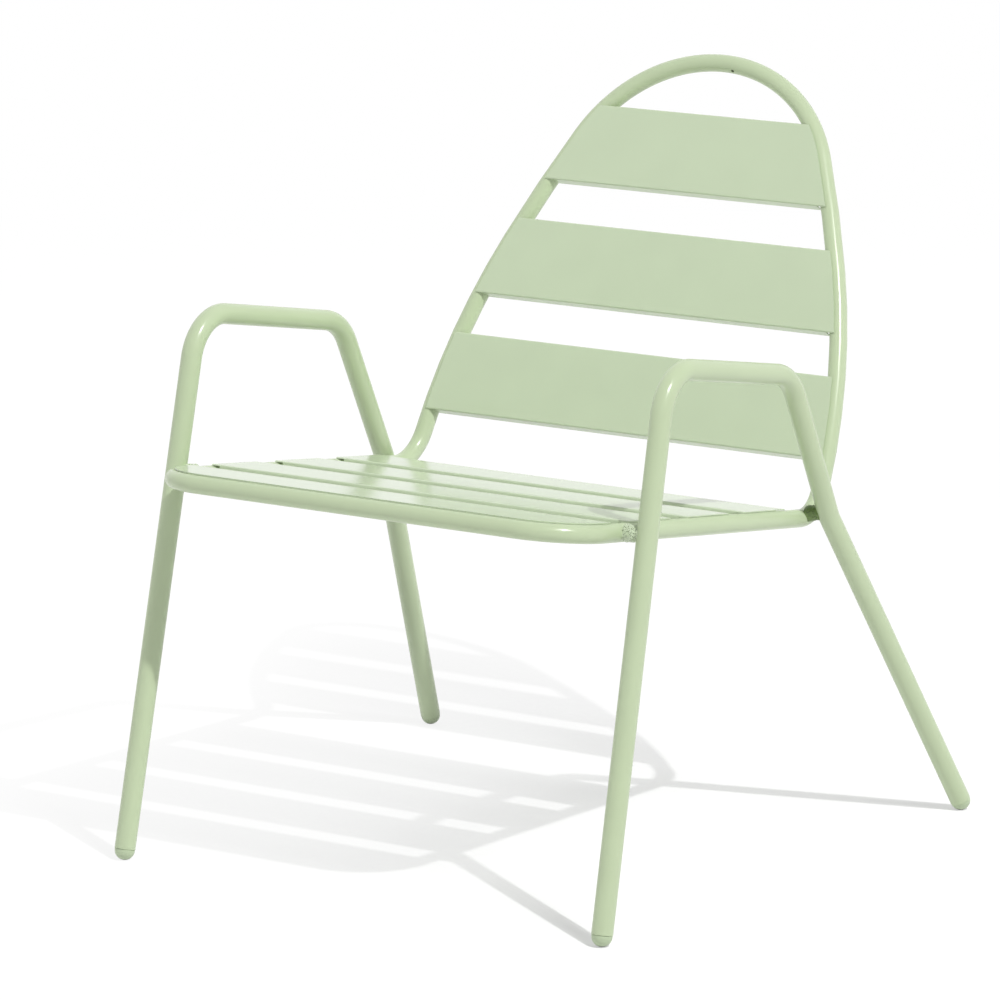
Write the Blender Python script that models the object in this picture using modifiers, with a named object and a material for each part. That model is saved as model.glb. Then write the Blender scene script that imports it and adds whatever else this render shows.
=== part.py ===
"""Garden armchair of bent steel tube with folded sheet slats.

A closed tube loop makes the seat rails and the arched back. Two bent side
frames make the legs and armrests, and short spacers join them to the loop.

Lengths are in metres. -Y is the front, +Z is up, and +X is the sitter's left.
The origin is on the floor, below the middle of the chair.
"""
import math

import bmesh
import bpy
from mathutils import Matrix, Vector

# Stock and clearances
LEG_TUBE_RADIUS = 0.011
LOOP_TUBE_RADIUS = 0.0095
TUBE_WALL = 0.0015
SHEET = 0.0012
GAP = 0.0003
SLAT_GAP = 0.0004

# Side frame: where the straight runs of its tube would meet
FRONT_FOOT_SPREAD = 0.2928
FRONT_FOOT_Y = -0.3570
ARM_FRONT_SPREAD = 0.2850
ARM_FRONT_Y = -0.2258
ARM_FRONT_HEIGHT = 0.5599
ARM_REAR_SPREAD = 0.2790
ARM_REAR_Y = 0.0263
ARM_REAR_HEIGHT = 0.5116
KNEE_SPREAD = 0.2793
KNEE_Y = 0.1111
KNEE_HEIGHT = 0.3472
REAR_FOOT_SPREAD = 0.3431
REAR_FOOT_Y = 0.2988
ARM_FRONT_RADIUS = 0.050
ARM_REAR_RADIUS = 0.055
KNEE_RADIUS = 0.060

# Loop, seat part: centre-line of the front rail and of the side rails
SEAT_FRONT_Y = -0.3554
SEAT_FRONT_HEIGHT = 0.4102
SEAT_SPREAD = 0.254
SEAT_DEPTH = 0.4875
SEAT_SLOPE = math.radians(8.14)
SEAT_CORNER_RADIUS = 0.0635
REAR_BEND_RADIUS = 0.049

# Loop, back part: tangent arcs from the top down, angles from the top
BACK_TILT = math.radians(27.9)
BACK_LENGTH = 0.4882
TOP_ARC_RADIUS = 0.1672
TOP_ARC_END = math.radians(64.6)
SIDE_ARC_RADIUS = 1.52
SIDE_ARC_END = math.radians(69.8)
LOWER_ARC_RADIUS = 0.757

# Drain hole in the loop, on the underside of the arch
DRAIN_RADIUS = 0.002
DRAIN_ACROSS = 0.0184
DRAIN_TURN = math.radians(27.0)

# Slats: folded sheet, flanges turned away from the sitter
FLANGE_DEPTH = 0.014
FOLD_RADIUS = 0.0018
FLANGE_NOTCH = 0.0007
BACK_SLAT_HEIGHT = 0.090
BACK_SLAT_PITCH = 0.1373
TOP_SLAT_DROP = 0.0633
SEAT_SLAT_START = -0.0065
SEAT_SLAT_DEPTH = 0.0823
SEAT_SLAT_PITCH = 0.1149

# Spacers between the loop and the side frames
SPACER_RADIUS = 0.008

# Feet: domed plugs in the ends of the side frames
TUBE_END_HEIGHT = 0.0115
PLUG_SET_IN = 0.0004
PLUG_STEM_LENGTH = 0.016
PLUG_CHAMFER = 0.001
FOOT_FLAT_RADIUS = 0.003

# Facets and cutters
TUBE_RESOLUTION = 6
TUBE_SIDES = 2 * TUBE_RESOLUTION + 4
ROUND_SIDES = 24
HOLE_SIDES = 12
DOME_STEPS = 6
ARC_STEP = math.radians(11.0)
SHARP_ANGLE = math.radians(35.0)
WELD_DISTANCE = 0.00001
CUT_MARGIN = 0.005
FLOOR_REACH = 0.5

SEAT_PLANE = (Matrix.Translation((0, SEAT_FRONT_Y, SEAT_FRONT_HEIGHT))
              @ Matrix.Rotation(-SEAT_SLOPE, 4, "X"))
BACK_PLANE = (Matrix.Translation(SEAT_PLANE @ Vector((0, SEAT_DEPTH, 0)))
              @ Matrix.Rotation(math.pi / 2 - BACK_TILT, 4, "X"))
REAR_BEND_TURN = math.pi / 2 - BACK_TILT + SEAT_SLOPE
SLAT_TOP = LOOP_TUBE_RADIUS + SLAT_GAP + SHEET
PLUG_RADIUS = LEG_TUBE_RADIUS - PLUG_SET_IN


# Scene

def clear_scene():
    for thing in list(bpy.data.objects):
        bpy.data.objects.remove(thing)


def new_collection(name):
    made = bpy.data.collections.new(name)
    bpy.context.scene.collection.children.link(made)
    return made


def paint(name, colour, roughness, metallic=0.0):
    """A plain surface: linear colour, roughness and metallic value."""
    made = bpy.data.materials.new(name)
    made.use_nodes = True
    surface = made.node_tree.nodes["Principled BSDF"]
    surface.inputs["Base Color"].default_value = (*colour, 1)
    surface.inputs["Roughness"].default_value = roughness
    surface.inputs["Metallic"].default_value = metallic
    return made


def add_part(name, mesh, material, parent=None):
    """A visible sub-part from a mesh, shaded smooth but for its edges."""
    made = bpy.data.objects.new(name, mesh)
    mesh.materials.clear()
    mesh.materials.append(material)
    mesh.shade_smooth()
    mesh.set_sharp_from_angle(angle=SHARP_ANGLE)
    made.parent = parent
    PARTS.objects.link(made)
    return made


def add_cutter(name, mesh, parent=None):
    made = bpy.data.objects.new(name, mesh)
    made.hide_render = True
    made.display_type = "WIRE"
    made.parent = parent
    CUTTERS.objects.link(made)
    return made


def add_plane_empty(name, matrix):
    """An empty at a plane's origin, which carries the slats of that plane."""
    made = bpy.data.objects.new(name, None)
    made.matrix_world = matrix
    PARTS.objects.link(made)
    return made


def combine(part, other, operation):
    step = part.modifiers.new(operation.lower() + "_" + other.name, "BOOLEAN")
    step.operation = operation
    step.object = other


# Paths

def round_corner(before, corner, after, radius):
    """The arc of this radius that rounds a corner between two runs."""
    back = (before - corner).normalized()
    ahead = (after - corner).normalized()
    half = back.angle(ahead) / 2
    centre = corner + (back + ahead).normalized() * radius / math.sin(half)
    start = corner + back * radius / math.tan(half) - centre
    end = corner + ahead * radius / math.tan(half) - centre
    turn = math.pi - 2 * half
    steps = max(1, math.ceil(turn / ARC_STEP))
    axis = start.cross(end)
    return [centre + Matrix.Rotation(turn * i / steps, 3, axis) @ start
            for i in range(steps + 1)]


def rounded_path(ends_and_corners):
    """A path from (point, radius) pairs; the two ends stay as they are."""
    pairs = ends_and_corners
    points = [pairs[0][0]]
    for previous, (corner, radius), following in zip(pairs, pairs[1:], pairs[2:]):
        points += round_corner(previous[0], corner, following[0], radius)
    points.append(pairs[-1][0])
    return points


def mirrored(points):
    return [Vector((-p.x, p.y, p.z)) for p in points]


def side_frame_path(side):
    """The side frame's centre-line from the front foot to the rear foot."""
    front_foot = Vector((side * FRONT_FOOT_SPREAD, FRONT_FOOT_Y, 0))
    arm_front = Vector((side * ARM_FRONT_SPREAD, ARM_FRONT_Y, ARM_FRONT_HEIGHT))
    arm_rear = Vector((side * ARM_REAR_SPREAD, ARM_REAR_Y, ARM_REAR_HEIGHT))
    knee = Vector((side * KNEE_SPREAD, KNEE_Y, KNEE_HEIGHT))
    rear_foot = Vector((side * REAR_FOOT_SPREAD, REAR_FOOT_Y, 0))
    front_end = front_foot.lerp(arm_front, TUBE_END_HEIGHT / ARM_FRONT_HEIGHT)
    rear_end = rear_foot.lerp(knee, TUBE_END_HEIGHT / KNEE_HEIGHT)
    return rounded_path([
        (front_end, 0),
        (arm_front, ARM_FRONT_RADIUS),
        (arm_rear, ARM_REAR_RADIUS),
        (knee, KNEE_RADIUS),
        (rear_end, 0),
    ])


def back_outline(lowest, inset=0.0):
    """The +X half of the back's centre-line in its plane, from the top down
    to the height `lowest`, drawn in by `inset`."""
    arcs = [
        (TOP_ARC_RADIUS - inset, 0, TOP_ARC_END),
        (SIDE_ARC_RADIUS - inset, TOP_ARC_END, SIDE_ARC_END),
        (LOWER_ARC_RADIUS - inset, SIDE_ARC_END, None),
    ]
    point = Vector((0, BACK_LENGTH - inset, 0))
    points = [point]
    for radius, first, last in arcs:
        centre = point - radius * Vector((math.sin(first), math.cos(first), 0))
        if last is None:
            last = math.acos((lowest - centre.y) / radius)
        steps = math.ceil((last - first) / ARC_STEP)
        for i in range(1, steps + 1):
            angle = first + (last - first) * i / steps
            point = centre + radius * Vector((math.sin(angle), math.cos(angle), 0))
            points.append(point)
    return points


def loop_path():
    """The loop's centre-line, closed: seat corner, rear bend, arch and back."""
    bend_length = REAR_BEND_RADIUS * math.tan(REAR_BEND_TURN / 2)
    back = [BACK_PLANE @ p for p in back_outline(bend_length)]
    front_middle = SEAT_PLANE @ Vector((0, 0, 0))
    front_corner = SEAT_PLANE @ Vector((SEAT_SPREAD, 0, 0))
    rear_corner = SEAT_PLANE @ Vector((SEAT_SPREAD, SEAT_DEPTH, 0))
    left = rounded_path([
        (front_middle, 0),
        (front_corner, SEAT_CORNER_RADIUS),
        (rear_corner, REAR_BEND_RADIUS),
        (back[-1], 0),
    ])
    # The rear bend's arc ends on the back's lowest point.
    left = left[1:-2] + list(reversed(back))
    return left + mirrored(reversed(left[:-1]))


def crossing(first, second):
    """Where two paths first cross in side view: a point on each of them."""
    for a, b in zip(first, first[1:]):
        for c, d in zip(second, second[1:]):
            run = Vector((b.y - a.y, b.z - a.z))
            other = Vector((d.y - c.y, d.z - c.z))
            across = run.cross(other)
            if across == 0:
                continue
            offset = Vector((c.y - a.y, c.z - a.z))
            along = offset.cross(other) / across
            along_other = offset.cross(run) / across
            if 0 <= along <= 1 and 0 <= along_other <= 1:
                return a.lerp(b, along), c.lerp(d, along_other)
    raise ValueError("the side frame and the loop do not cross")


# Solids

def saved_mesh(name, shape):
    mesh = bpy.data.meshes.new(name)
    shape.to_mesh(mesh)
    shape.free()
    return mesh


def mesh_of_curve(name, curve):
    """The mesh that a curve draws, with its caps welded on."""
    drawn = bpy.data.objects.new(name, curve)
    bpy.context.scene.collection.objects.link(drawn)
    bpy.context.view_layer.update()
    evaluated = drawn.evaluated_get(bpy.context.evaluated_depsgraph_get())
    shape = bmesh.new()
    shape.from_mesh(evaluated.to_mesh())
    bpy.data.objects.remove(drawn)
    bmesh.ops.remove_doubles(shape, verts=shape.verts, dist=WELD_DISTANCE)
    return saved_mesh(name, shape)


def tube_mesh(name, points, radius, closed=False, capped=False):
    """The outer surface of a round tube along a path."""
    curve = bpy.data.curves.new(name, "CURVE")
    curve.dimensions = "3D"
    curve.bevel_depth = radius
    curve.bevel_resolution = TUBE_RESOLUTION
    curve.use_fill_caps = capped
    spline = curve.splines.new("POLY")
    spline.points.add(len(points) - 1)
    for spot, point in zip(spline.points, points):
        spot.co = (*point, 1)
    spline.use_cyclic_u = closed
    return mesh_of_curve(name, curve)


def prism_mesh(name, outline, low, high):
    """A flat outline in the XY plane, filled between two heights."""
    curve = bpy.data.curves.new(name, "CURVE")
    curve.dimensions = "2D"
    curve.fill_mode = "BOTH"
    curve.extrude = (high - low) / 2
    spline = curve.splines.new("POLY")
    spline.points.add(len(outline) - 1)
    for spot, point in zip(spline.points, outline):
        spot.co = (point.x, point.y, 0, 1)
    spline.use_cyclic_u = True
    mesh = mesh_of_curve(name, curve)
    mesh.transform(Matrix.Translation((0, 0, (high + low) / 2)))
    return mesh


def rod_mesh(name, radius, low, high, sides):
    """A rod around the Z axis, between two heights."""
    shape = bmesh.new()
    bmesh.ops.create_cone(shape, cap_ends=True, segments=sides, radius1=radius,
                          radius2=radius, depth=high - low)
    bmesh.ops.translate(shape, verts=shape.verts, vec=(0, 0, (high + low) / 2))
    return saved_mesh(name, shape)


def thicken(part, thickness):
    """Give a surface a wall, inside its outer face."""
    wall = part.modifiers.new("wall", "SOLIDIFY")
    wall.thickness = thickness
    wall.offset = -1
    wall.use_even_offset = True


def folded_sheet_mesh(name, corners, half_length):
    """The outer face of a folded sheet: a section in the YZ plane, rounded at
    its folds and drawn along X."""
    last = len(corners) - 1
    section = rounded_path([
        (Vector((0, y, z)), FOLD_RADIUS if 0 < i < last else 0)
        for i, (y, z) in enumerate(corners)
    ])
    shape = bmesh.new()
    row = [shape.verts.new((-half_length, p.y, p.z)) for p in section]
    edges = [shape.edges.new(pair) for pair in zip(row, row[1:])]
    drawn = bmesh.ops.extrude_edge_only(shape, edges=edges)["geom"]
    moved = [item for item in drawn if isinstance(item, bmesh.types.BMVert)]
    bmesh.ops.translate(shape, verts=moved, vec=(2 * half_length, 0, 0))
    return saved_mesh(name, shape)


def slat_envelope(name, outline, plane):
    """The room that a plane's slats may take: above the tube they reach the
    loop's centre-line, and lower down they stop short of the tube."""
    inside_tube = outline(LOOP_TUBE_RADIUS + FLANGE_NOTCH)
    top = SLAT_TOP + CUT_MARGIN
    inner = prism_mesh(name, inside_tube, -FLANGE_DEPTH, top + CUT_MARGIN)
    outer = prism_mesh(name + "_over_tube", outline(0), LOOP_TUBE_RADIUS + GAP, top)
    envelope = add_cutter(name, inner, plane)
    combine(envelope, add_cutter(outer.name, outer, plane), "UNION")
    return envelope


def seat_outline(inset):
    """The seat's closed outline in its plane, rounded at its front corners."""
    side = SEAT_SPREAD - inset
    half = rounded_path([
        (Vector((0, inset, 0)), 0),
        (Vector((side, inset, 0)), SEAT_CORNER_RADIUS - inset),
        (Vector((side, SEAT_DEPTH, 0)), 0),
    ])
    return half + mirrored(reversed(half[1:]))


def closed_back_outline(inset):
    half = back_outline(0, inset)
    return list(reversed(half)) + mirrored(half[1:])


def slat_section(start, end):
    """A slat's corners: flange, face and flange."""
    bottom = SLAT_TOP - FLANGE_DEPTH
    return [(start, bottom), (start, SLAT_TOP), (end, SLAT_TOP), (end, bottom)]


def front_slat_section():
    """The front seat slat's corners: no flange where it lies on the rail."""
    return slat_section(-CUT_MARGIN, SEAT_SLAT_START + SEAT_SLAT_DEPTH)[1:]


# Sub-parts

def make_side_frame(side, label, material):
    mesh = tube_mesh("side_frame_" + label, side_frame_path(side), LEG_TUBE_RADIUS)
    thicken(add_part(mesh.name, mesh, material), TUBE_WALL)


def make_loop(material):
    mesh = tube_mesh("seat_back_loop", loop_path(), LOOP_TUBE_RADIUS, closed=True)
    loop = add_part(mesh.name, mesh, material)
    thicken(loop, TUBE_WALL)
    combine(loop, make_drain_cutter(), "DIFFERENCE")


def make_drain_cutter():
    """A pin from the tube's centre out through its wall, on the underside of
    the arch and turned towards the front."""
    angle = math.asin(DRAIN_ACROSS / TOP_ARC_RADIUS)
    outward = Vector((math.sin(angle), math.cos(angle), 0))
    centre = Vector((0, BACK_LENGTH - TOP_ARC_RADIUS, 0)) + TOP_ARC_RADIUS * outward
    direction = math.cos(DRAIN_TURN) * -outward + math.sin(DRAIN_TURN) * Vector((0, 0, 1))
    length = LOOP_TUBE_RADIUS + CUT_MARGIN
    cutter = add_cutter("drain_hole", rod_mesh(
        "drain_hole", DRAIN_RADIUS, 0, length, HOLE_SIDES), BACK)
    cutter.location = centre
    cutter.rotation_euler = direction.to_track_quat("Z", "Y").to_euler()
    return cutter


def make_slat(name, section, half_length, envelope, plane, material):
    mesh = folded_sheet_mesh(name, section, half_length)
    slat = add_part(name, mesh, material, plane)
    thicken(slat, SHEET)
    combine(slat, envelope, "INTERSECT")


def make_back_slats(material):
    envelope = slat_envelope("back_slat_room", closed_back_outline, BACK)
    half_length = max(point.x for point in back_outline(0)) + CUT_MARGIN
    for i, label in enumerate(("top", "middle", "bottom")):
        end = BACK_LENGTH - TOP_SLAT_DROP - i * BACK_SLAT_PITCH
        section = slat_section(end - BACK_SLAT_HEIGHT, end)
        make_slat("back_slat_" + label, section, half_length, envelope, BACK, material)


def make_seat_slats(material):
    envelope = slat_envelope("seat_slat_room", seat_outline, SEAT)
    sections = [front_slat_section()]
    for i in range(1, 4):
        start = SEAT_SLAT_START + i * SEAT_SLAT_PITCH
        sections.append(slat_section(start, start + SEAT_SLAT_DEPTH))
    half_length = SEAT_SPREAD + CUT_MARGIN
    for i, section in enumerate(sections, start=1):
        make_slat(f"seat_slat_{i}", section, half_length, envelope, SEAT, material)


def make_spacers(side, label, material):
    """A short rod at each place where the side frame passes the loop."""
    leg_path = side_frame_path(side)
    rail_path = loop_path()
    if side < 0:
        rail_path.reverse()
    rail_path = rail_path[:len(rail_path) // 2]
    clear_of_leg = add_cutter("clear_of_leg_" + label, tube_mesh(
        "clear_of_leg_" + label, leg_path, LEG_TUBE_RADIUS + GAP, capped=True))
    for place, route in (("front", leg_path), ("rear", list(reversed(leg_path)))):
        on_leg, on_rail = crossing(route, rail_path)
        half = abs(on_leg.x - on_rail.x) / 2
        mesh = rod_mesh(f"spacer_{place}_{label}", SPACER_RADIUS, -half, half, ROUND_SIDES)
        spacer = add_part(mesh.name, mesh, material)
        spacer.location = (on_leg + on_rail) / 2
        spacer.rotation_euler = (0, math.pi / 2, 0)
        combine(spacer, LOOP_ROOM, "DIFFERENCE")
        combine(spacer, clear_of_leg, "DIFFERENCE")


def plug_profile(shoulder_to_dome):
    """Half of the plug's section, from the top of its stem down to its dome.
    The shoulder, which faces the tube's end, is at the height 0."""
    bore = (LEG_TUBE_RADIUS - TUBE_WALL) * math.cos(math.pi / TUBE_SIDES)
    stem = bore - GAP
    points = [
        (0, PLUG_STEM_LENGTH),
        (stem - PLUG_CHAMFER, PLUG_STEM_LENGTH),
        (stem, PLUG_STEM_LENGTH - PLUG_CHAMFER),
        (stem, 0),
        (PLUG_RADIUS, 0),
    ]
    for i in range(DOME_STEPS + 1):
        angle = math.pi / 2 * i / DOME_STEPS
        points.append((PLUG_RADIUS * math.cos(angle),
                       -shoulder_to_dome - PLUG_RADIUS * math.sin(angle)))
    points[-1] = (0, points[-1][1])
    return points


def make_foot_plug(name, end, next_point, material):
    """A plug in a tube's end. Its dome is cut flat on the floor."""
    axis = (next_point - end).normalized()
    dome_height = math.sqrt(PLUG_RADIUS ** 2 - FOOT_FLAT_RADIUS ** 2)
    shoulder = end - axis * GAP
    shape = bmesh.new()
    profile = plug_profile((shoulder.z - dome_height) / axis.z)
    spots = [shape.verts.new((x, 0, z)) for x, z in profile]
    for pair in zip(spots, spots[1:]):
        shape.edges.new(pair)
    plug = add_part(name, saved_mesh(name, shape), material)
    plug.location = shoulder
    plug.rotation_euler = axis.to_track_quat("Z", "Y").to_euler()
    turned = plug.modifiers.new("turned", "SCREW")
    turned.steps = ROUND_SIDES
    turned.render_steps = ROUND_SIDES
    turned.use_merge_vertices = True
    turned.merge_threshold = WELD_DISTANCE
    combine(plug, FLOOR, "DIFFERENCE")


def make_feet(side, label, material):
    path = side_frame_path(side)
    make_foot_plug("foot_plug_front_" + label, path[0], path[1], material)
    make_foot_plug("foot_plug_rear_" + label, path[-1], path[-2], material)


def make_floor_cutter():
    """Everything below the floor, which cuts the feet flat."""
    shape = bmesh.new()
    bmesh.ops.create_cube(shape, size=2 * FLOOR_REACH)
    bmesh.ops.translate(shape, verts=shape.verts, vec=(0, 0, -FLOOR_REACH))
    return add_cutter("below_floor", saved_mesh("below_floor", shape))


clear_scene()
PARTS = new_collection("garden_armchair")
CUTTERS = new_collection("cutters")
SEAT = add_plane_empty("seat_plane", SEAT_PLANE)
BACK = add_plane_empty("back_plane", BACK_PLANE)
FLOOR = make_floor_cutter()
LOOP_ROOM = add_cutter("clear_of_loop", tube_mesh(
    "clear_of_loop", loop_path(), LOOP_TUBE_RADIUS + GAP, closed=True))

SAGE = (0.47, 0.56, 0.37)
loop_paint = paint("loop_paint", SAGE, 0.35)
frame_paint = paint("side_frame_paint", SAGE, 0.35)
slat_paint = paint("slat_paint", SAGE, 0.4)
spacer_paint = paint("spacer_paint", (0.30, 0.38, 0.22), 0.55)
foot_plastic = paint("foot_plastic", (0.42, 0.51, 0.33), 0.5)

make_loop(loop_paint)
make_back_slats(slat_paint)
make_seat_slats(slat_paint)
for side, label in ((1, "left"), (-1, "right")):
    make_side_frame(side, label, frame_paint)
    make_spacers(side, label, spacer_paint)
    make_feet(side, label, foot_plastic)
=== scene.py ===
import math

import bmesh
import bpy
from mathutils import Matrix, Vector, noise


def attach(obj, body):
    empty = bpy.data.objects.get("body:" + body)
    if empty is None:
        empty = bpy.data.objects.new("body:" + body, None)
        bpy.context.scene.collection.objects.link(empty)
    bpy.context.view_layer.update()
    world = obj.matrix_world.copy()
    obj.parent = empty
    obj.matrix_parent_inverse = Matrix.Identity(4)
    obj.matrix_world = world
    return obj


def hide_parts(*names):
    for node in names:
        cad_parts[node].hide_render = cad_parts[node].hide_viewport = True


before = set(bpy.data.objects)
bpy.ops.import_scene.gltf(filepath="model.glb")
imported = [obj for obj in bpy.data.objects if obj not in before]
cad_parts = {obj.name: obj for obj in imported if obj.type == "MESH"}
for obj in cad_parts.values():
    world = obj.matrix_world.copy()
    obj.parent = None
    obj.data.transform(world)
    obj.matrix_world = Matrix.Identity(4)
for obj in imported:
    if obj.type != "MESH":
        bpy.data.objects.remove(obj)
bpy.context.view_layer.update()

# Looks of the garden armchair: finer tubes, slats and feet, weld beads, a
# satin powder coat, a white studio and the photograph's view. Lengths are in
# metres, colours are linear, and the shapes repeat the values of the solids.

LEG_TUBE_RADIUS = 0.011
LOOP_TUBE_RADIUS = 0.0095
TUBE_WALL = 0.0015
SHEET = 0.0012
GAP = 0.0003
SLAT_GAP = 0.0004

FRONT_FOOT = (0.2928, -0.3570, 0)
ARM_FRONT = (0.2850, -0.2258, 0.5599)
ARM_REAR = (0.2790, 0.0263, 0.5116)
KNEE = (0.2793, 0.1111, 0.3472)
REAR_FOOT = (0.3431, 0.2988, 0)
ARM_FRONT_RADIUS = 0.050
ARM_REAR_RADIUS = 0.055
KNEE_RADIUS = 0.060

SEAT_FRONT_Y = -0.3554
SEAT_FRONT_HEIGHT = 0.4102
SEAT_SPREAD = 0.254
SEAT_DEPTH = 0.4875
SEAT_SLOPE = math.radians(8.14)
SEAT_CORNER_RADIUS = 0.0635
REAR_BEND_RADIUS = 0.049

BACK_TILT = math.radians(27.9)
BACK_LENGTH = 0.4882
TOP_ARC_RADIUS = 0.1672
TOP_ARC_END = math.radians(64.6)
SIDE_ARC_RADIUS = 1.52
SIDE_ARC_END = math.radians(69.8)
LOWER_ARC_RADIUS = 0.757

DRAIN_RADIUS = 0.002
DRAIN_ACROSS = 0.0184
DRAIN_TURN = math.radians(27.0)

FLANGE_DEPTH = 0.014
FOLD_RADIUS = 0.0018
FLANGE_NOTCH = 0.0007
SLAT_EDGE = 0.00025
BACK_SLAT_HEIGHT = 0.090
BACK_SLAT_PITCH = 0.1373
TOP_SLAT_DROP = 0.0633
SEAT_SLAT_COUNT = 4
SEAT_SLAT_START = -0.0065
SEAT_SLAT_DEPTH = 0.0823
SEAT_SLAT_PITCH = 0.1149

TUBE_END_HEIGHT = 0.0115
PLUG_RADIUS = 0.0106
PLUG_STEM_LENGTH = 0.016
PLUG_CHAMFER = 0.001
PLUG_LIP = 0.0003
FOOT_FLAT_RADIUS = 0.003

TUBE_RESOLUTION = 14
ROUND_SIDES = 48
DOME_STEPS = 16
ARC_STEP = math.radians(3.0)
SHARP_ANGLE = math.radians(38)
ROUNDED_ANGLE = math.radians(40)
ROUNDED_SEGMENTS = 2
FLAT_FACE_WEIGHT = 100
CUT_MARGIN = 0.005
MERGE_DISTANCE = 0.000001

SEAT_PLANE = (Matrix.Translation((0, SEAT_FRONT_Y, SEAT_FRONT_HEIGHT))
              @ Matrix.Rotation(-SEAT_SLOPE, 4, "X"))
BACK_PLANE = (Matrix.Translation(SEAT_PLANE @ Vector((0, SEAT_DEPTH, 0)))
              @ Matrix.Rotation(math.pi / 2 - BACK_TILT, 4, "X"))
REAR_BEND_TURN = math.pi / 2 - BACK_TILT + SEAT_SLOPE
SLAT_TOP = LOOP_TUBE_RADIUS + SLAT_GAP + SHEET


# Paths

def round_corner(before, corner, after, radius):
    back = (before - corner).normalized()
    ahead = (after - corner).normalized()
    half = back.angle(ahead) / 2
    centre = corner + (back + ahead).normalized() * radius / math.sin(half)
    start = corner + back * radius / math.tan(half) - centre
    end = corner + ahead * radius / math.tan(half) - centre
    turn = math.pi - 2 * half
    steps = max(1, math.ceil(turn / ARC_STEP))
    axis = start.cross(end)
    return [centre + Matrix.Rotation(turn * i / steps, 3, axis) @ start
            for i in range(steps + 1)]


def rounded_path(pairs):
    points = [pairs[0][0]]
    for previous, (corner, radius), following in zip(pairs, pairs[1:], pairs[2:]):
        points += round_corner(previous[0], corner, following[0], radius)
    points.append(pairs[-1][0])
    return points


def mirrored(points):
    return [Vector((-p.x, p.y, p.z)) for p in points]


def on_side(point, side):
    return Vector((side * point[0], point[1], point[2]))


def side_frame_path(side):
    front_foot, arm_front, arm_rear, knee, rear_foot = (
        on_side(p, side) for p in (FRONT_FOOT, ARM_FRONT, ARM_REAR, KNEE, REAR_FOOT))
    front_end = front_foot.lerp(arm_front, TUBE_END_HEIGHT / arm_front.z)
    rear_end = rear_foot.lerp(knee, TUBE_END_HEIGHT / knee.z)
    return rounded_path([
        (front_end, 0),
        (arm_front, ARM_FRONT_RADIUS),
        (arm_rear, ARM_REAR_RADIUS),
        (knee, KNEE_RADIUS),
        (rear_end, 0),
    ])


def back_outline(lowest, inset=0.0):
    arcs = [
        (TOP_ARC_RADIUS - inset, 0, TOP_ARC_END),
        (SIDE_ARC_RADIUS - inset, TOP_ARC_END, SIDE_ARC_END),
        (LOWER_ARC_RADIUS - inset, SIDE_ARC_END, None),
    ]
    point = Vector((0, BACK_LENGTH - inset, 0))
    points = [point]
    for radius, first, last in arcs:
        centre = point - radius * Vector((math.sin(first), math.cos(first), 0))
        if last is None:
            last = math.acos((lowest - centre.y) / radius)
        steps = math.ceil((last - first) / ARC_STEP)
        for i in range(1, steps + 1):
            angle = first + (last - first) * i / steps
            point = centre + radius * Vector((math.sin(angle), math.cos(angle), 0))
            points.append(point)
    return points


def loop_path():
    bend_length = REAR_BEND_RADIUS * math.tan(REAR_BEND_TURN / 2)
    back = [BACK_PLANE @ p for p in back_outline(bend_length)]
    left = rounded_path([
        (SEAT_PLANE @ Vector((0, 0, 0)), 0),
        (SEAT_PLANE @ Vector((SEAT_SPREAD, 0, 0)), SEAT_CORNER_RADIUS),
        (SEAT_PLANE @ Vector((SEAT_SPREAD, SEAT_DEPTH, 0)), REAR_BEND_RADIUS),
        (back[-1], 0),
    ])
    left = left[1:-2] + list(reversed(back))
    return left + mirrored(reversed(left[:-1]))


def crossing(first, second):
    """The points of two paths that cover each other, seen from the side."""
    for a, b in zip(first, first[1:]):
        for c, d in zip(second, second[1:]):
            run = Vector((b.y - a.y, b.z - a.z))
            other = Vector((d.y - c.y, d.z - c.z))
            across = run.cross(other)
            if across == 0:
                continue
            offset = Vector((c.y - a.y, c.z - a.z))
            along = offset.cross(other) / across
            along_other = offset.cross(run) / across
            if 0 <= along <= 1 and 0 <= along_other <= 1:
                return a.lerp(b, along), c.lerp(d, along_other)
    raise ValueError("the side frame and the loop do not cross")


# Pieces

def saved_mesh(name, shape):
    mesh = bpy.data.meshes.new(name)
    shape.to_mesh(mesh)
    shape.free()
    return mesh


def add_object(name, data, matrix=None):
    made = bpy.data.objects.new(name, data)
    if matrix is not None:
        made.matrix_world = matrix
    bpy.context.scene.collection.objects.link(made)
    return made


def evaluated_mesh(thing, name):
    bpy.context.view_layer.update()
    result = thing.evaluated_get(bpy.context.evaluated_depsgraph_get())
    shape = bmesh.new()
    shape.from_mesh(result.to_mesh())
    bmesh.ops.remove_doubles(shape, verts=shape.verts, dist=MERGE_DISTANCE)
    bpy.data.objects.remove(thing)
    return saved_mesh(name, shape)


def tube_mesh(name, points, radius, closed=False):
    curve = bpy.data.curves.new(name, "CURVE")
    curve.dimensions = "3D"
    curve.bevel_depth = radius
    curve.bevel_resolution = TUBE_RESOLUTION
    spline = curve.splines.new("POLY")
    spline.points.add(len(points) - 1)
    for spot, point in zip(spline.points, points):
        spot.co = (*point, 1)
    spline.use_cyclic_u = closed
    return evaluated_mesh(add_object(name, curve), name)


def prism_mesh(name, outline, low, high):
    curve = bpy.data.curves.new(name, "CURVE")
    curve.dimensions = "2D"
    curve.fill_mode = "BOTH"
    curve.extrude = (high - low) / 2
    spline = curve.splines.new("POLY")
    spline.points.add(len(outline) - 1)
    for spot, point in zip(spline.points, outline):
        spot.co = (point.x, point.y, 0, 1)
    spline.use_cyclic_u = True
    mesh = evaluated_mesh(add_object(name, curve), name)
    mesh.transform(Matrix.Translation((0, 0, (high + low) / 2)))
    return mesh


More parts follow.
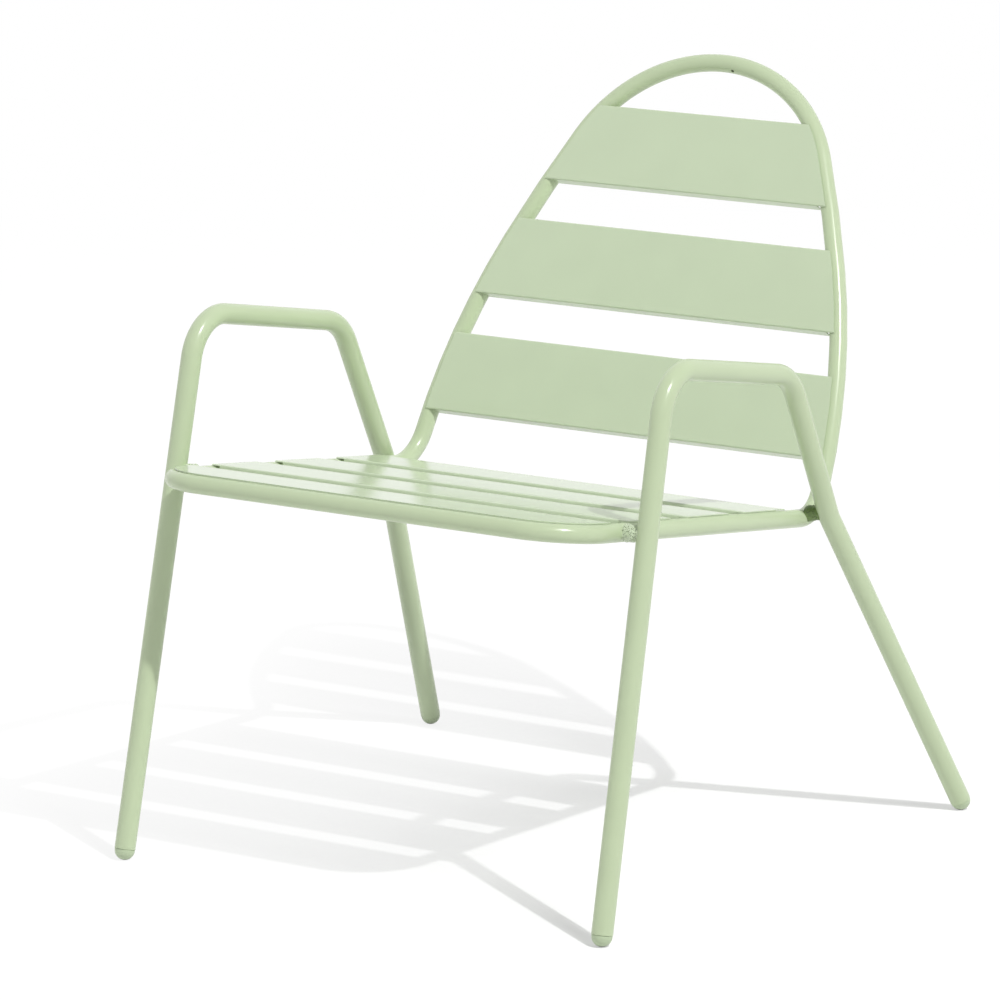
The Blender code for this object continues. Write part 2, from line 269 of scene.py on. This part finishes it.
def thicken(piece, thickness):
    wall = piece.modifiers.new("wall", "SOLIDIFY")
    wall.thickness = thickness
    wall.offset = -1
    wall.use_even_offset = True


def combine(piece, other, operation):
    step = piece.modifiers.new(operation, "BOOLEAN")
    step.operation = operation
    step.object = other


def settle(piece, edge=0.0):
    """Apply the modifiers, move the shape to its place in the world, shade it
    smooth, and round its edges by `edge` while its flat faces stay flat."""
    place = piece.matrix_world.copy()
    name = piece.name
    piece.name = name + "_raw"
    mesh = evaluated_mesh(piece, name)
    mesh.transform(place)
    made = add_object(name, mesh)
    mesh.shade_smooth()
    if edge:
        soften = made.modifiers.new("edges", "BEVEL")
        soften.width = edge
        soften.segments = ROUNDED_SEGMENTS
        soften.limit_method = "ANGLE"
        soften.angle_limit = ROUNDED_ANGLE
        flatten = made.modifiers.new("flat_faces", "WEIGHTED_NORMAL")
        flatten.weight = FLAT_FACE_WEIGHT
        flatten.keep_sharp = True
    else:
        mesh.set_sharp_from_angle(angle=SHARP_ANGLE)
    return made


def dress(piece, material, slot, *nodes):
    piece.data.materials.clear()
    piece.data.materials.append(material)
    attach(piece, "root")
    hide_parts(*nodes)


# Shader nodes

def feed(tree, target, value):
    """Link an output to an input, or set the input to a constant."""
    if isinstance(value, bpy.types.NodeSocket):
        tree.links.new(value, target)
    else:
        target.default_value = value


def shader(tree, kind, **values):
    node = tree.nodes.new(kind)
    for name, value in values.items():
        feed(tree, node.inputs[name], value)
    return node.outputs[0]


def mix_shaders(tree, factor, first, second):
    node = tree.nodes.new("ShaderNodeMixShader")
    for target, value in zip(node.inputs, (factor, first, second)):
        feed(tree, target, value)
    return node.outputs[0]


def mix_colours(tree, factor, first, second):
    node = tree.nodes.new("ShaderNodeMix")
    node.data_type = "RGBA"
    feed(tree, node.inputs["Factor"], factor)
    feed(tree, node.inputs["A"], first)
    feed(tree, node.inputs["B"], second)
    return node.outputs["Result"]


def map_range(tree, value, start, end, low=0.0, high=1.0, smooth=False):
    node = tree.nodes.new("ShaderNodeMapRange")
    if smooth:
        node.interpolation_type = "SMOOTHSTEP"
    feed(tree, node.inputs["Value"], value)
    feed(tree, node.inputs["From Min"], start)
    feed(tree, node.inputs["From Max"], end)
    feed(tree, node.inputs["To Min"], low)
    feed(tree, node.inputs["To Max"], high)
    return node.outputs["Result"]


def calculate(tree, operation, *values, clamp=False):
    node = tree.nodes.new("ShaderNodeMath")
    node.operation = operation
    node.use_clamp = clamp
    for target, value in zip(node.inputs, values):
        feed(tree, target, value)
    return node.outputs[0]


def dot_product(tree, vector, direction):
    node = tree.nodes.new("ShaderNodeVectorMath")
    node.operation = "DOT_PRODUCT"
    feed(tree, node.inputs[0], vector)
    feed(tree, node.inputs[1], direction)
    return node.outputs["Value"]


def opaque(colour):
    return (*colour, 1)


# Powder coat

COAT_IOR = 1.5
NOISE_SPAN = (0.3, 0.7)
TONE_SCALE = 17.0
GLOSS_SCALE = 70.0
GLOSS_DRIFT = 0.006
PEEL_SCALE = 520.0
PEEL_DEPTH = 0.00012
# Heights above the floor over which the feet's painted contact shade fades out.
CONTACT_SHADE_FADE = (0.0003, 0.0022)
# Dark specks of painted shade in the welds' pitted surface, where a fine noise rises past the
# edge values.
PIT_SCALE = 950.0
PIT_DETAIL = 2.0
PIT_EDGE = (0.56, 0.63)

# TUBE_GREEN and SLAT_GREEN stand for one paint: the slats' paler copy is painted light for
# their lit faces, the tubes' more saturated copy painted shade for their shaded sides.
TUBE_GREEN = (0.53, 0.63, 0.41)
SLAT_GREEN = (0.575, 0.675, 0.475)
PLUG_GREEN = (0.50, 0.60, 0.40)
# Painted contact shade: the feet turn dark grey in their lowest 2 mm, next to the floor.
PLUG_CONTACT_SHADE_GREY = (0.10, 0.13, 0.08)
# A lightened copy of the tubes' paint for the front welds: painted light on their lit lumps.
WELD_GREEN = (0.70, 0.81, 0.58)
# Colour of the painted shade in the front welds' pitted surface.
WELD_PIT_GREEN = (0.06, 0.11, 0.03)
# A darkened copy of the weld paint, with darker specks: painted shade for the rear weld between
# the leg and the rail.
PAINTED_SHADE_WELD_GREEN = (0.14, 0.22, 0.06)
PAINTED_SHADE_WELD_PIT_GREEN = (0.05, 0.08, 0.02)


def powder_coat(name, colour, roughness, peel=0.06, tone=0.012, contact_shade=None, pit_shade=None):
    """A satin powder coat: fine orange peel, a faint drift of tone and of
    gloss, for the feet painted contact shade, a dark grey tip in the last
    few millimetres above the floor, and for the welds dark specks of
    painted shade in their pitted surface."""
    made = bpy.data.materials.new(name)
    made.use_nodes = True
    tree = made.node_tree
    surface = tree.nodes["Principled BSDF"]
    surface.inputs["IOR"].default_value = COAT_IOR
    where = tree.nodes.new("ShaderNodeTexCoord").outputs["Object"]

    def grain(scale, detail=1.0):
        node = tree.nodes.new("ShaderNodeTexNoise")
        feed(tree, node.inputs["Vector"], where)
        feed(tree, node.inputs["Scale"], scale)
        feed(tree, node.inputs["Detail"], detail)
        return node.outputs["Fac"]

    drift = map_range(tree, grain(TONE_SCALE), *NOISE_SPAN)
    result = mix_colours(tree, drift, opaque([c * (1 - tone) for c in colour]),
                         opaque([c * (1 + tone) for c in colour]))
    # Painted contact shade: darker towards the floor in the feet's lowest 2 mm.
    if contact_shade:
        split = tree.nodes.new("ShaderNodeSeparateXYZ")
        feed(tree, split.inputs["Vector"], where)
        height = map_range(tree, split.outputs["Z"], *CONTACT_SHADE_FADE, smooth=True)
        result = mix_colours(tree, height, opaque(contact_shade), result)
    # Painted shade: dark specks for the shade in the weld's pitted surface.
    if pit_shade:
        pit_shade_mask = map_range(tree, grain(PIT_SCALE, PIT_DETAIL), *PIT_EDGE, smooth=True)
        result = mix_colours(tree, pit_shade_mask, result, opaque(pit_shade))
    feed(tree, surface.inputs["Base Color"], result)
    gloss = map_range(tree, grain(GLOSS_SCALE), *NOISE_SPAN,
                      roughness - GLOSS_DRIFT, roughness + GLOSS_DRIFT)
    feed(tree, surface.inputs["Roughness"], gloss)
    bump = tree.nodes.new("ShaderNodeBump")
    feed(tree, bump.inputs["Strength"], peel)
    feed(tree, bump.inputs["Distance"], PEEL_DEPTH)
    feed(tree, bump.inputs["Height"], grain(PEEL_SCALE))
    feed(tree, surface.inputs["Normal"], bump.outputs["Normal"])
    return made


tube_coat = powder_coat("tube_coat", TUBE_GREEN, 0.255)
slat_coat = powder_coat("slat_coat", SLAT_GREEN, 0.165, peel=0.03)
plug_coat = powder_coat("plug_coat", PLUG_GREEN, 0.42, peel=0.4, contact_shade=PLUG_CONTACT_SHADE_GREY)
# Painted light: the front welds' paint is a lighter copy of the tubes' green, with dark specks
# of painted shade.
weld_coat = powder_coat(
    "weld_coat", WELD_GREEN, 0.26, peel=0.9, tone=0.2, pit_shade=WELD_PIT_GREEN)
# Painted shade: the weld paint darkened, for the rear weld on the sitter's left.
painted_shade_weld_coat = powder_coat(
    "painted_shade_weld_coat", PAINTED_SHADE_WELD_GREEN, 0.4, peel=0.8, tone=0.35, pit_shade=PAINTED_SHADE_WELD_PIT_GREEN)


# Tubes

def make_side_frame(side, label):
    name = "side_tube_" + label
    piece = add_object(name, tube_mesh(name, side_frame_path(side), LEG_TUBE_RADIUS))
    thicken(piece, TUBE_WALL)
    dress(settle(piece), tube_coat, "side_frame_paint", "side_frame_" + label)


def drain_cutter():
    angle = math.asin(DRAIN_ACROSS / TOP_ARC_RADIUS)
    outward = Vector((math.sin(angle), math.cos(angle), 0))
    centre = Vector((0, BACK_LENGTH - TOP_ARC_RADIUS, 0)) + TOP_ARC_RADIUS * outward
    direction = math.cos(DRAIN_TURN) * -outward + math.sin(DRAIN_TURN) * Vector((0, 0, 1))
    turn = direction.to_track_quat("Z", "Y").to_matrix().to_4x4()
    length = LOOP_TUBE_RADIUS + CUT_MARGIN
    shape = bmesh.new()
    bmesh.ops.create_cone(shape, cap_ends=True, segments=ROUND_SIDES, radius1=DRAIN_RADIUS,
                          radius2=DRAIN_RADIUS, depth=length)
    bmesh.ops.translate(shape, verts=shape.verts, vec=(0, 0, length / 2))
    return add_object("drain_cutter", saved_mesh("drain_cutter", shape),
                      BACK_PLANE @ Matrix.Translation(centre) @ turn)


def make_loop():
    piece = add_object("loop_tube", tube_mesh("loop_tube", loop_path(), LOOP_TUBE_RADIUS,
                                              closed=True))
    thicken(piece, TUBE_WALL)
    cutter = drain_cutter()
    combine(piece, cutter, "DIFFERENCE")
    made = settle(piece)
    bpy.data.objects.remove(cutter)
    dress(made, tube_coat, "loop_paint", "seat_back_loop")


# Slats

def folded_sheet_mesh(name, corners, half_length):
    last = len(corners) - 1
    section = rounded_path([
        (Vector((0, y, z)), FOLD_RADIUS if 0 < i < last else 0)
        for i, (y, z) in enumerate(corners)
    ])
    shape = bmesh.new()
    row = [shape.verts.new((-half_length, p.y, p.z)) for p in section]
    edges = [shape.edges.new(pair) for pair in zip(row, row[1:])]
    drawn = bmesh.ops.extrude_edge_only(shape, edges=edges)["geom"]
    moved = [item for item in drawn if isinstance(item, bmesh.types.BMVert)]
    bmesh.ops.translate(shape, verts=moved, vec=(2 * half_length, 0, 0))
    return saved_mesh(name, shape)


def slat_envelope(name, outline, plane):
    """The room for the slats' sheet: between the loop's sides, and over them."""
    inside_tube = outline(LOOP_TUBE_RADIUS + FLANGE_NOTCH)
    top = SLAT_TOP + CUT_MARGIN
    inner = add_object(name, prism_mesh(name, inside_tube, -FLANGE_DEPTH, top + CUT_MARGIN),
                       plane)
    outer = add_object(name + "_over", prism_mesh(
        name + "_over", outline(0), LOOP_TUBE_RADIUS + GAP, top), plane)
    combine(inner, outer, "UNION")
    made = add_object(name + "_room", evaluated_mesh(inner, name + "_room"), plane)
    bpy.data.objects.remove(outer)
    return made


def seat_outline(inset):
    side = SEAT_SPREAD - inset
    half = rounded_path([
        (Vector((0, inset, 0)), 0),
        (Vector((side, inset, 0)), SEAT_CORNER_RADIUS - inset),
        (Vector((side, SEAT_DEPTH, 0)), 0),
    ])
    return half + mirrored(reversed(half[1:]))


def closed_back_outline(inset):
    half = back_outline(0, inset)
    return list(reversed(half)) + mirrored(half[1:])


def slat_section(start, end):
    bottom = SLAT_TOP - FLANGE_DEPTH
    return [(start, bottom), (start, SLAT_TOP), (end, SLAT_TOP), (end, bottom)]


def make_slat(node, section, half_length, envelope, plane):
    name = node + "_sheet"
    piece = add_object(name, folded_sheet_mesh(name, section, half_length), plane)
    thicken(piece, SHEET)
    combine(piece, envelope, "INTERSECT")
    dress(settle(piece, edge=SLAT_EDGE), slat_coat, "slat_paint", node)


def make_back_slats():
    envelope = slat_envelope("back_room", closed_back_outline, BACK_PLANE)
    half_length = max(point.x for point in back_outline(0)) + CUT_MARGIN
    for i, label in enumerate(("top", "middle", "bottom")):
        end = BACK_LENGTH - TOP_SLAT_DROP - i * BACK_SLAT_PITCH
        section = slat_section(end - BACK_SLAT_HEIGHT, end)
        make_slat("back_slat_" + label, section, half_length, envelope, BACK_PLANE)
    bpy.data.objects.remove(envelope)


def make_seat_slats():
    envelope = slat_envelope("seat_room", seat_outline, SEAT_PLANE)
    sections = [slat_section(-CUT_MARGIN, SEAT_SLAT_START + SEAT_SLAT_DEPTH)[1:]]
    for i in range(1, SEAT_SLAT_COUNT):
        start = SEAT_SLAT_START + i * SEAT_SLAT_PITCH
        sections.append(slat_section(start, start + SEAT_SLAT_DEPTH))
    for i, section in enumerate(sections, start=1):
        make_slat(f"seat_slat_{i}", section, SEAT_SPREAD + CUT_MARGIN, envelope, SEAT_PLANE)
    bpy.data.objects.remove(envelope)


# Welds

BEAD_SIDES = 72
BEAD_RINGS = 36
BEAD_SET_IN = 0.005
BEAD_LUMPS = ((420, 0.0007), (1100, 0.0004))
CREASE_WIDTH = 0.0022
TOE_WIDTH = 0.003
TOE_FALL = 0.0016
FRONT_BEAD = {
    "radius": 0.0087,
    "crease": 0.0020,
    "toe": 0.0006,
    "reach": 0.0,
    "lift": (0, 0.0012),
}
REAR_BEAD = {
    "radius": 0.0072,
    "crease": 0.0002,
    "toe": 0.0006,
    "reach": 0.0125,
    "lift": (-0.0045, 0.0040),
}
SMALL_BEAD = {
    "radius": 0.0068,
    "crease": 0.0004,
    "toe": 0.0004,
    "reach": 0.0,
    "lift": (0, -0.0035),
}


def make_weld(place, label, on_leg, on_rail, bead, material):
    """A lumpy bead of weld metal round the spacer, from inside the leg's wall
    to inside the rail's, creased at the leg and spread out at the rail."""
    inward = 1 if on_rail.x > on_leg.x else -1
    first = on_leg.x + inward * (LEG_TUBE_RADIUS - BEAD_SET_IN)
    last = on_rail.x - inward * (LOOP_TUBE_RADIUS - BEAD_SET_IN)
    length = abs(last - first)
    forward, upward = bead["lift"]
    shape = bmesh.new()
    rows = []
    for i in range(BEAD_RINGS + 1):
        along = length * i / BEAD_RINGS
        from_leg = (along - BEAD_SET_IN) / CREASE_WIDTH
        from_rail = (along - (length - BEAD_SET_IN)) / TOE_WIDTH
        crease = bead["crease"] * math.exp(-from_leg ** 2)
        toe = bead["toe"] * math.exp(-from_rail ** 2) - TOE_FALL * max(0.0, from_rail) ** 2
        centre = Vector((first + inward * along, on_leg.y + forward, on_leg.z + upward))
        row = []
        for j in range(BEAD_SIDES):
            angle = 2 * math.pi * j / BEAD_SIDES
            around = Vector((0, math.cos(angle), math.sin(angle)))
            skin = centre + around * bead["radius"]
            lump = sum(noise.noise(skin * scale) * height for scale, height in BEAD_LUMPS)
            ahead = bead["reach"] * max(0.0, -around.y) ** 2 * along / length
            row.append(shape.verts.new(
                centre + around * (bead["radius"] - crease + toe + lump + ahead)))
        rows.append(row)
    for near, far in zip(rows, rows[1:]):
        for j in range(BEAD_SIDES):
            k = (j + 1) % BEAD_SIDES
            shape.faces.new((near[j], near[k], far[k], far[j]))
    shape.faces.new(list(reversed(rows[0])))
    shape.faces.new(rows[-1])
    bmesh.ops.recalc_face_normals(shape, faces=shape.faces)
    name = f"weld_{place}_{label}"
    piece = add_object(name, saved_mesh(name, shape))
    piece.data.shade_smooth()
    dress(piece, material, "spacer_paint", f"spacer_{place}_{label}")


def make_welds(side, label):
    """The welds of one side. Only the rear one on the sitter's left is dark:
    its paint is a darkened copy, painted shade for its place between the tubes.
    """
    leg_path = side_frame_path(side)
    rail_path = loop_path()
    if side < 0:
        rail_path.reverse()
    rail_path = rail_path[:len(rail_path) // 2]
    # The rear weld on the sitter's left gets the painted shade; the one on the right keeps the
    # tubes' paint.
    rear_look = (REAR_BEAD, painted_shade_weld_coat) if side > 0 else (SMALL_BEAD, tube_coat)
    for place, route, look in (
            ("front", leg_path, (FRONT_BEAD, weld_coat)),
            ("rear", list(reversed(leg_path)), rear_look)):
        make_weld(place, label, *crossing(route, rail_path), *look)


# Feet

def plug_profile(drop):
    """Half of the plug's outline, as radius and height, from the top of the
    stem to the end of the dome, whose centre is `drop` below the shoulder."""
    stem = LEG_TUBE_RADIUS - TUBE_WALL - 2 * GAP
    profile = [
        (0, PLUG_STEM_LENGTH),
        (stem - PLUG_CHAMFER, PLUG_STEM_LENGTH),
        (stem, PLUG_STEM_LENGTH - PLUG_CHAMFER),
        (stem, 0),
        (PLUG_RADIUS - PLUG_LIP, 0),
        (PLUG_RADIUS, -PLUG_LIP),
    ]
    for i in range(DOME_STEPS + 1):
        angle = math.pi / 2 * i / DOME_STEPS
        profile.append((PLUG_RADIUS * math.cos(angle), -drop - PLUG_RADIUS * math.sin(angle)))
    profile[-1] = (0, profile[-1][1])
    return profile


def make_foot(name, node, end, next_point):
    axis = (next_point - end).normalized()
    shoulder = end - axis * GAP
    dome_height = math.sqrt(PLUG_RADIUS ** 2 - FOOT_FLAT_RADIUS ** 2)
    profile = plug_profile((shoulder.z - dome_height) / axis.z)
    place = Matrix.Translation(shoulder) @ axis.to_track_quat("Z", "Y").to_matrix().to_4x4()
    shape = bmesh.new()
    spots = [shape.verts.new((x, 0, z)) for x, z in profile]
    for pair in zip(spots, spots[1:]):
        shape.edges.new(pair)
    bmesh.ops.spin(shape, geom=shape.verts[:] + shape.edges[:], cent=(0, 0, 0), axis=(0, 0, 1),
                   angle=2 * math.pi, steps=ROUND_SIDES, use_merge=True)
    bmesh.ops.remove_doubles(shape, verts=shape.verts, dist=MERGE_DISTANCE)
    bmesh.ops.transform(shape, matrix=place, verts=shape.verts)
    cut = bmesh.ops.bisect_plane(shape, geom=shape.verts[:] + shape.edges[:] + shape.faces[:],
                                 plane_co=(0, 0, 0), plane_no=(0, 0, -1), clear_outer=True)
    rim = [item for item in cut["geom_cut"] if isinstance(item, bmesh.types.BMEdge)]
    bmesh.ops.contextual_create(shape, geom=rim)
    bmesh.ops.recalc_face_normals(shape, faces=shape.faces)
    piece = add_object(name, saved_mesh(name, shape))
    piece.data.shade_smooth()
    piece.data.set_sharp_from_angle(angle=SHARP_ANGLE)
    dress(piece, plug_coat, "foot_plastic", node)


def make_feet(side, label):
    path = side_frame_path(side)
    make_foot("foot_front_" + label, "foot_plug_front_" + label, path[0], path[1])
    make_foot("foot_rear_" + label, "foot_plug_rear_" + label, path[-1], path[-2])


make_loop()
make_back_slats()
make_seat_slats()
for side, label in ((1, "left"), (-1, "right")):
    make_side_frame(side, label)
    make_welds(side, label)
    make_feet(side, label)


# Studio

WHITE = (1, 1, 1, 1)
AMBIENT = 0.96
SKY_LEAN = (-0.38, 0.30, -0.60)
KEY_PLACE = Vector((3.864, -1.469, 5.489))
CHAIR_KEYS = (("key_core", 0.06, 22.3), ("key_halo", 0.50, 4.0))
FLOOR_KEYS = (("floor_core", 0.05, 33.5), ("floor_halo", 0.80, 27.0))
FLOOR_RADIUS = 40.0
FLOOR_SIDES = 64
FLOOR_TURN = math.radians(10.0)
FLOOR_TONES = ((-0.60, 0.06), (-0.40, 0.10), (-0.25, 0.13), (-0.15, 0.165),
               (-0.05, 0.23), (0.05, 0.34), (0.15, 0.385), (0.30, 0.34))
FLOOR_LIT = 1.655
FLOOR_WHITE = 1.03
FLOOR_FADE = (1.8, 4.0)
BOUNCE_TONE = 0.48
CAMERA_PLACE = (3.3045, -5.1867, 1.6833)
CAMERA_AZIMUTH = math.radians(32.95)
CAMERA_ELEVATION = math.radians(12.21)
CAMERA_SENSOR = 36.0
CAMERA_LENS = 215.53
CAMERA_REACH = 200.0


def seen_directly(tree):
    """1 for rays from the camera and in reflections, 0 for rays that light."""
    path = tree.nodes.new("ShaderNodeLightPath")
    total = path.outputs["Is Camera Ray"]
    for other in ("Is Glossy Ray", "Is Transmission Ray"):
        total = calculate(tree, "ADD", total, path.outputs[other], clamp=True)
    return total


def make_world():
    """White to the eye. Its soft light is strongest low behind the chair, on
    the sitter's right, and weakest from above."""
    world = bpy.data.worlds.new("studio")
    bpy.context.scene.world = world
    world.use_nodes = True
    tree = world.node_tree
    tree.nodes.clear()
    where = tree.nodes.new("ShaderNodeTexCoord").outputs["Generated"]
    lean = dot_product(tree, where, SKY_LEAN)
    level = calculate(tree, "MULTIPLY_ADD", lean, AMBIENT, AMBIENT)
    light = shader(tree, "ShaderNodeBackground", Color=WHITE, Strength=level)
    seen = shader(tree, "ShaderNodeBackground", Color=WHITE, Strength=1.0)
    out = tree.nodes.new("ShaderNodeOutputWorld")
    feed(tree, out.inputs["Surface"], mix_shaders(tree, seen_directly(tree), light, seen))


def floor_tone(tree, where):
    """How much of the lamps' light and shadow the floor shows, which grows
    across the chair's shadow from its far end to the chair."""
    across = (math.cos(FLOOR_TURN), math.sin(FLOOR_TURN), 0)
    low, high = FLOOR_TONES[0][0], FLOOR_TONES[-1][0]
    ramp = tree.nodes.new("ShaderNodeValToRGB")
    stops = ramp.color_ramp.elements
    while len(stops) < len(FLOOR_TONES):
        stops.new(0.5)
    for stop, (spot, tone) in zip(stops, FLOOR_TONES):
        stop.position = (spot - low) / (high - low)
        stop.color = (tone, tone, tone, 1)
    feed(tree, ramp.inputs["Fac"], map_range(tree, dot_product(tree, where, across), low, high))
    return ramp.outputs["Color"]


def floor_coat():
    """A pale floor that comes out white where nothing shades it, and that
    lights the chair from below as a plain matt floor does."""
    made = bpy.data.materials.new("floor_white")
    made.use_nodes = True
    tree = made.node_tree
    tree.nodes.clear()
    where = tree.nodes.new("ShaderNodeTexCoord").outputs["Object"]
    tone = floor_tone(tree, where)
    rest = calculate(tree, "MULTIPLY_ADD", tone, -FLOOR_LIT, FLOOR_WHITE)
    near = tree.nodes.new("ShaderNodeAddShader")
    feed(tree, near.inputs[0], shader(tree, "ShaderNodeBsdfDiffuse", Color=tone))
    feed(tree, near.inputs[1], shader(tree, "ShaderNodeEmission", Strength=rest))
    far = shader(tree, "ShaderNodeEmission", Strength=1.0)
    distance = tree.nodes.new("ShaderNodeVectorMath")
    distance.operation = "LENGTH"
    feed(tree, distance.inputs[0], where)
    fade = map_range(tree, distance.outputs["Value"], *FLOOR_FADE, smooth=True)
    shown = mix_shaders(tree, fade, near.outputs[0], far)
    bounce = shader(tree, "ShaderNodeBsdfDiffuse", Color=opaque([BOUNCE_TONE] * 3))
    out = tree.nodes.new("ShaderNodeOutputMaterial")
    feed(tree, out.inputs["Surface"], mix_shaders(tree, seen_directly(tree), bounce, shown))
    return made


def make_floor():
    shape = bmesh.new()
    bmesh.ops.create_circle(shape, cap_ends=True, segments=FLOOR_SIDES, radius=FLOOR_RADIUS)
    floor = add_object("floor", saved_mesh("floor", shape))
    floor.data.materials.append(floor_coat())
    return floor


def make_keys(keys, lit):
    """A small bright core, which draws crisp shadows, and a wide halo in the
    same place, which softens them with distance."""
    for name, size, power in keys:
        lamp = bpy.data.lights.new(name, "POINT")
        lamp.shadow_soft_size = size
        lamp.energy = power
        lamp.use_nodes = True
        tree = lamp.node_tree
        falloff = tree.nodes.new("ShaderNodeLightFalloff")
        falloff.inputs["Strength"].default_value = 1.0
        feed(tree, tree.nodes["Emission"].inputs["Strength"], falloff.outputs["Constant"])
        placed = add_object(name, lamp)
        placed.location = KEY_PLACE
        placed.light_linking.receiver_collection = lit


def make_camera():
    camera = bpy.data.cameras.new("camera")
    camera.sensor_width = CAMERA_SENSOR
    camera.lens = CAMERA_LENS
    camera.clip_end = CAMERA_REACH
    placed = add_object("camera", camera)
    placed.location = CAMERA_PLACE
    placed.rotation_euler = (math.pi / 2 - CAMERA_ELEVATION, 0, CAMERA_AZIMUTH)
    bpy.context.scene.camera = placed


make_world()
floor = make_floor()
only_floor = bpy.data.collections.new("only_floor")
only_floor.objects.link(floor)
all_but_floor = bpy.data.collections.new("all_but_floor")
all_but_floor.objects.link(floor)
all_but_floor.collection_objects[0].light_linking.link_state = "EXCLUDE"
make_keys(CHAIR_KEYS, all_but_floor)
make_keys(FLOOR_KEYS, only_floor)
make_camera()
bpy.context.scene.view_settings.view_transform = "Standard"

bpy.context.view_layer.update()
